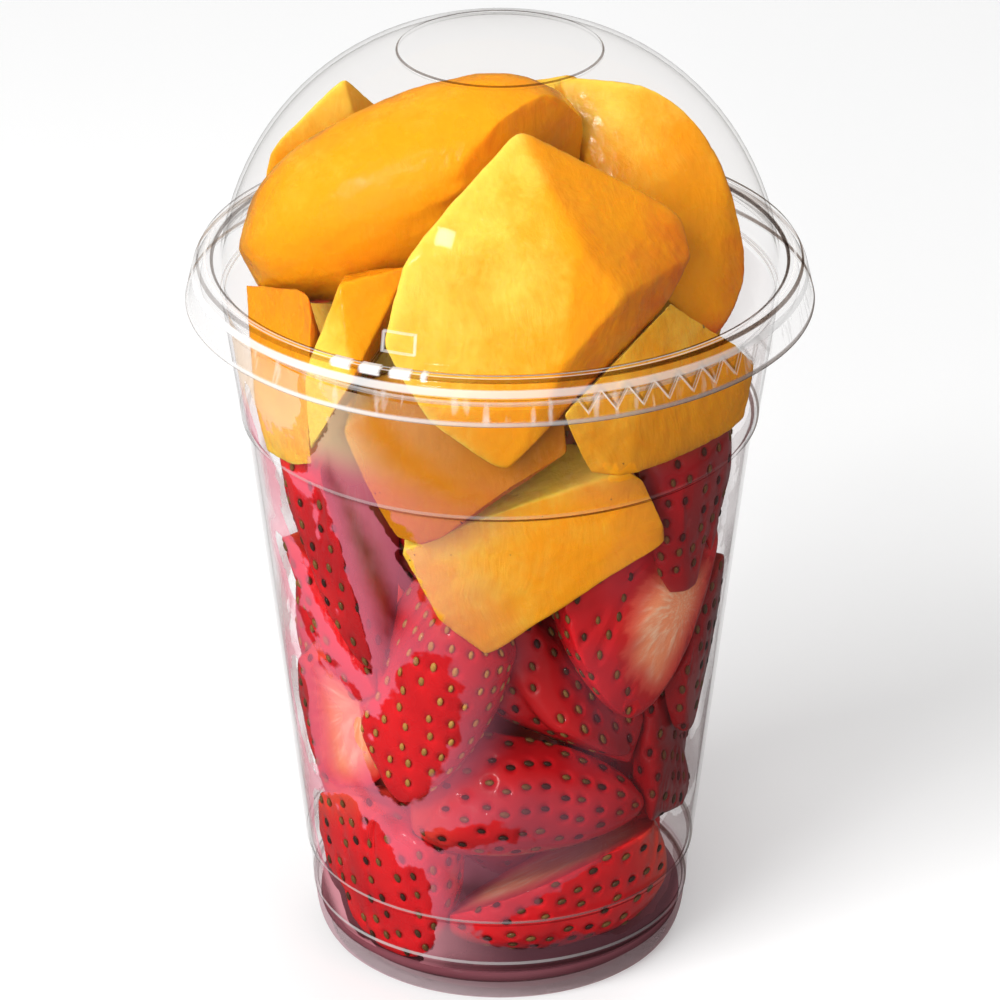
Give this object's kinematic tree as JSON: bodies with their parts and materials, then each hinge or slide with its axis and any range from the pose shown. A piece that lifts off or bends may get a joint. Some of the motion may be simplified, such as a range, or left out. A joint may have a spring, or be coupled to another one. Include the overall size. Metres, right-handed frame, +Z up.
{
  "type": "fruit cup",
  "caption": "Clear domed-lid tumbler filled with mango chunks over cut strawberries.",
  "frame": {"origin": "centre of the circle that the tumbler stands on, at the height of the surface under it", "axes": "+Z up along the tumbler's axis; -Y is the front, where the pale pointed mango chunk is; +X is to the right seen from the front"},
  "size_m": [0.102, 0.102, 0.1588],
  "materials": {
    "clear_cup": "clear, thin, glossy; misted by juice on the inside where fruit doesn't touch it",
    "clear_lid": "clear, thin, glossy",
    "juice": "wet, dark pink liquid",
    "mango": "wet, slightly translucent flesh with faint fibres",
    "strawberry": "wet glossy skin with seeds in pits; pale flesh on the cut faces"
  },
  "bodies": {
    "root": {"cup": "clear_cup", "dome_lid": "clear_lid", "juice": "juice", "mango_01_kite": "mango", "mango_02_cheek": "mango", "mango_03_right_top": "mango", "mango_04_peak": "mango", "mango_05_block": "mango", "mango_06_column": "mango", "mango_07_left": "mango", "mango_08_low_block": "mango", "mango_09_right": "mango", "mango_10_back": "mango", "mango_11_back": "mango", "mango_12_back": "mango", "mango_13_back_top": "mango", "mango_14_middle": "mango", "strawberry_01": "strawberry", "strawberry_02": "strawberry", "strawberry_03": "strawberry", "strawberry_04": "strawberry", "strawberry_05": "strawberry", "strawberry_06": "strawberry", "strawberry_07": "strawberry", "strawberry_08": "strawberry", "strawberry_09": "strawberry", "strawberry_10": "strawberry", "strawberry_11": "strawberry", "strawberry_12": "strawberry", "strawberry_13": "strawberry", "strawberry_14": "strawberry", "strawberry_15": "strawberry", "strawberry_16": "strawberry", "strawberry_17": "strawberry", "strawberry_18": "strawberry", "strawberry_19": "strawberry", "strawberry_20": "strawberry", "strawberry_21": "strawberry", "strawberry_22": "strawberry", "strawberry_23": "strawberry", "strawberry_24": "strawberry", "strawberry_25": "strawberry", "strawberry_26": "strawberry"}
  },
  "joints": []
}
